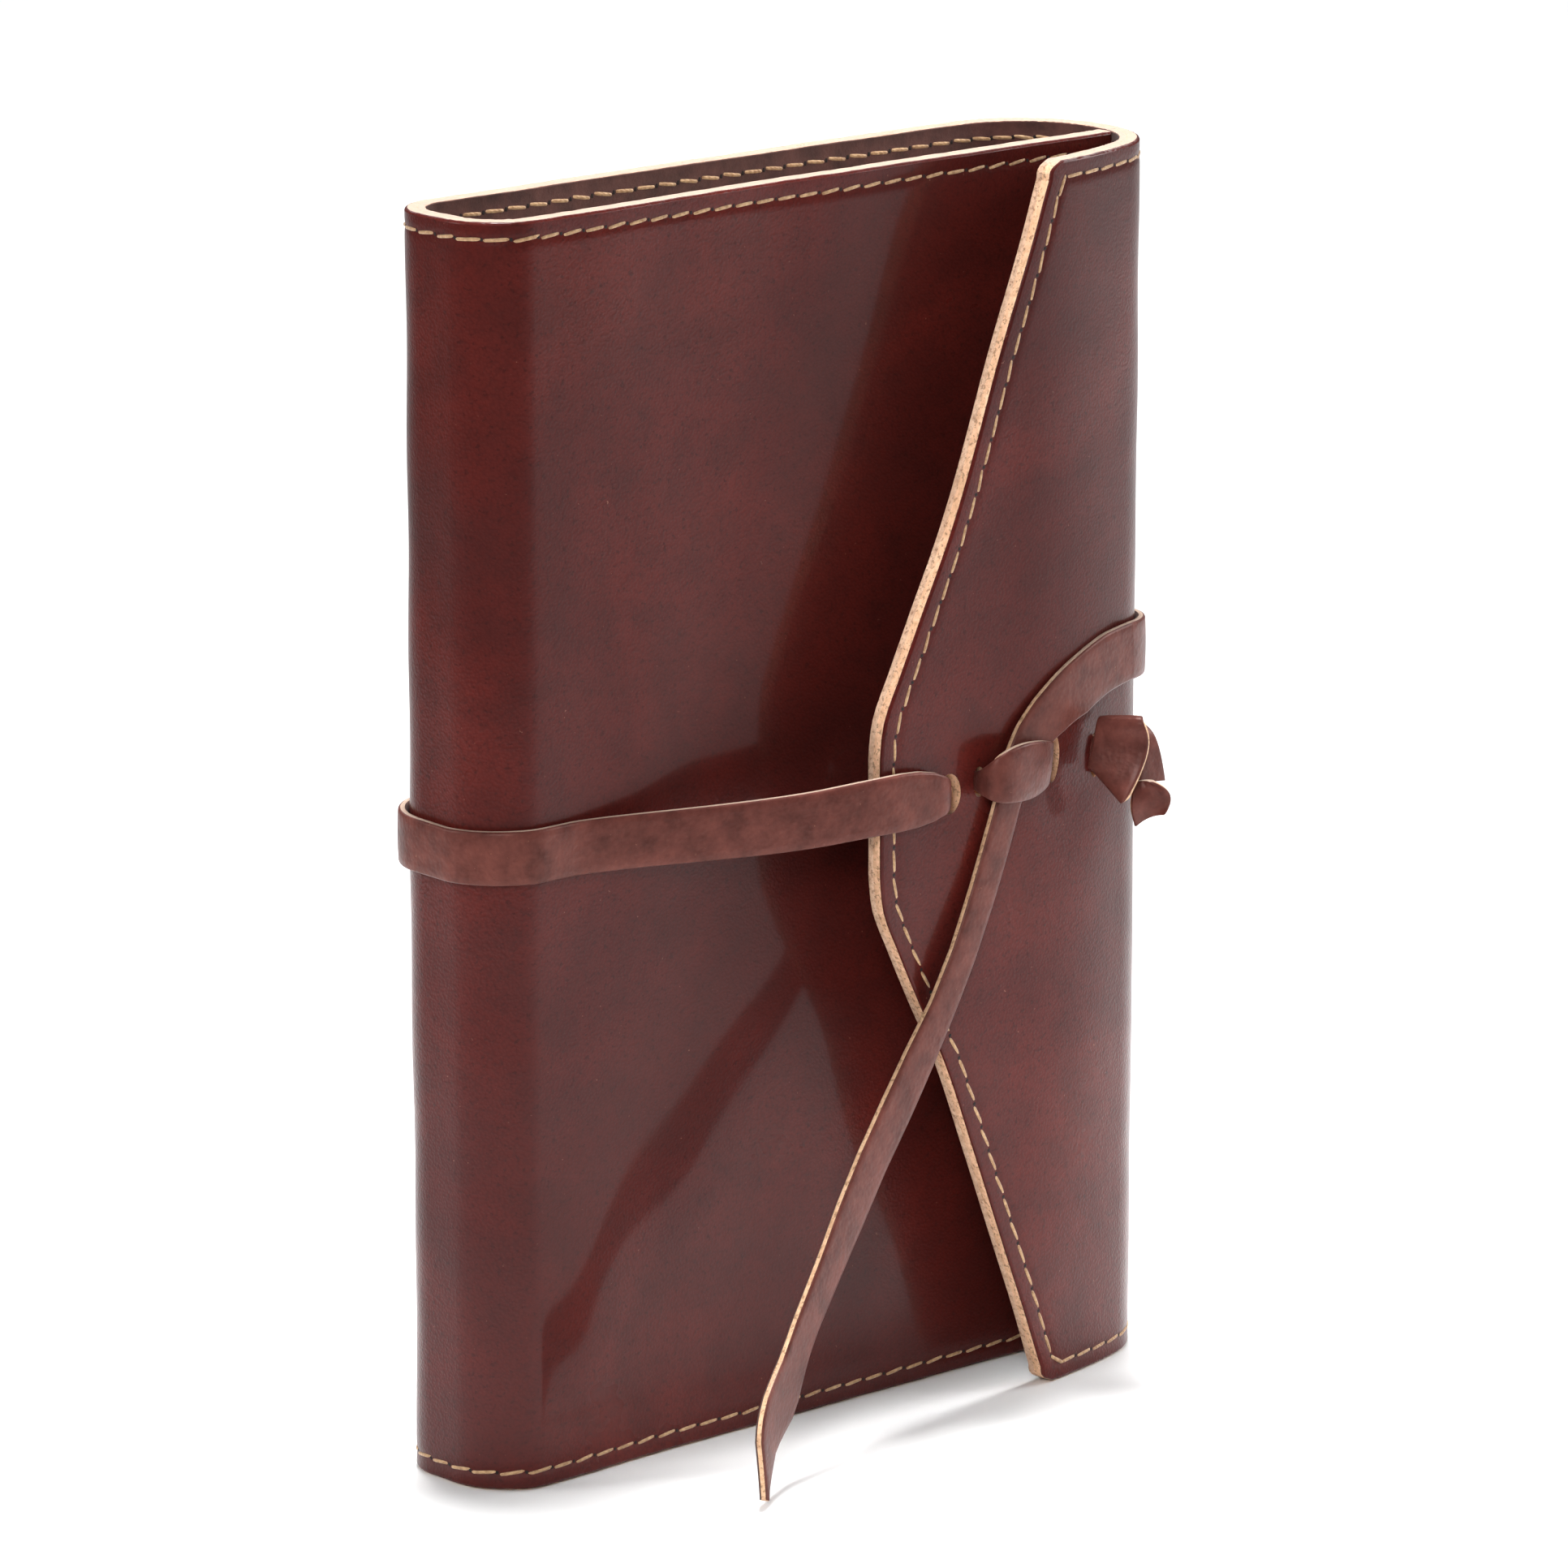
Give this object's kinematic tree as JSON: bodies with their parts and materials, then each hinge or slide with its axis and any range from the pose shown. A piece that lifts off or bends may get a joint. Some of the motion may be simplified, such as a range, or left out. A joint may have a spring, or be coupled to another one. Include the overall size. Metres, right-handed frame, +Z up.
{
  "type": "leather notebook cover",
  "caption": "Upright wrap-around leather notebook cover with a shaped flap, closed by a flat leather lace that passes round the spine.",
  "frame": {"origin": "middle of the base that the cover stands on, measured without the strap", "axes": "+Z up along the spine, front cover and flap towards -Y, spine at -X, fore-edge at +X"},
  "size_m": [0.1538, 0.0646, 0.22],
  "materials": {
    "cover_leather": "glossy, hand-stained mahogany with darker clouding",
    "suede_lining": "matt dark brown suede",
    "sleeve_suede": "matt dark brown suede",
    "strap_leather": "satin, with pale cut edges",
    "thread": "waxed honey-coloured thread",
    "paper": "uncoated cream paper",
    "card": "matt kraft card",
    "cloth": "woven book cloth"
  },
  "bodies": {
    "back_cover": {"back_cover_leather": "cover_leather", "back_cover_lining": "suede_lining", "back_cover_stitching": "thread", "back_sleeve": "sleeve_suede", "back_sleeve_stitching": "thread", "refill_back_card": "card", "refill_signatures": "paper", "refill_spine_cloth": "cloth", "strap_back_run": "strap_leather"},
    "spine": {"spine_leather": "cover_leather", "spine_lining": "suede_lining", "spine_stitching": "thread", "strap_spine_run": "strap_leather"},
    "front_cover": {"front_cover_leather": "cover_leather", "front_cover_lining": "suede_lining", "front_cover_stitching": "thread", "front_sleeve": "sleeve_suede", "front_sleeve_stitching": "thread", "refill_front_card": "card", "strap_front_run": "strap_leather"},
    "fore_edge": {"fore_edge_leather": "cover_leather", "fore_edge_lining": "suede_lining", "fore_edge_stitching": "thread", "strap_fore_edge_run": "strap_leather"},
    "flap": {"flap_leather": "cover_leather", "flap_lining": "suede_lining", "flap_stitching": "thread", "strap_tail": "strap_leather", "strap_keeper": "strap_leather", "strap_knot": "strap_leather"}
  },
  "joints": [
    {"name": "cover_open", "type": "hinge", "parent": "spine", "child": "front_cover", "pos_m": [-0.065, -0.00515, 0.11], "axis": [0, 0, -1], "range_deg": [0, 88], "deforming": ["strap_front_run", "strap_spine_run", "strap_back_run", "strap_fore_edge_run", "strap_tail", "strap_keeper", "strap_knot"]},
    {"name": "spine_open", "type": "hinge", "parent": "back_cover", "child": "spine", "pos_m": [-0.065, 0.02185, 0.11], "axis": [0, 0, -1], "range_deg": [0, 88]},
    {"name": "fore_edge_open", "type": "hinge", "parent": "back_cover", "child": "fore_edge", "pos_m": [0.055, 0.02185, 0.11], "axis": [0, 0, 1], "range_deg": [0, 80], "deforming": ["fore_edge_leather", "fore_edge_lining", "fore_edge_stitching"]},
    {"name": "flap_open", "type": "hinge", "parent": "fore_edge", "child": "flap", "pos_m": [0.06151, -0.01706, 0.11], "axis": [0, 0, 1], "range_deg": [0, 80], "deforming": ["flap_leather", "flap_lining", "flap_stitching"]}
  ],
  "couplings": [
    {"joint": "spine_open", "follows": "cover_open", "ratio": 1},
    {"joint": "fore_edge_open", "follows": "cover_open", "ratio": 0.909},
    {"joint": "flap_open", "follows": "cover_open", "ratio": 0.909}
  ]
}
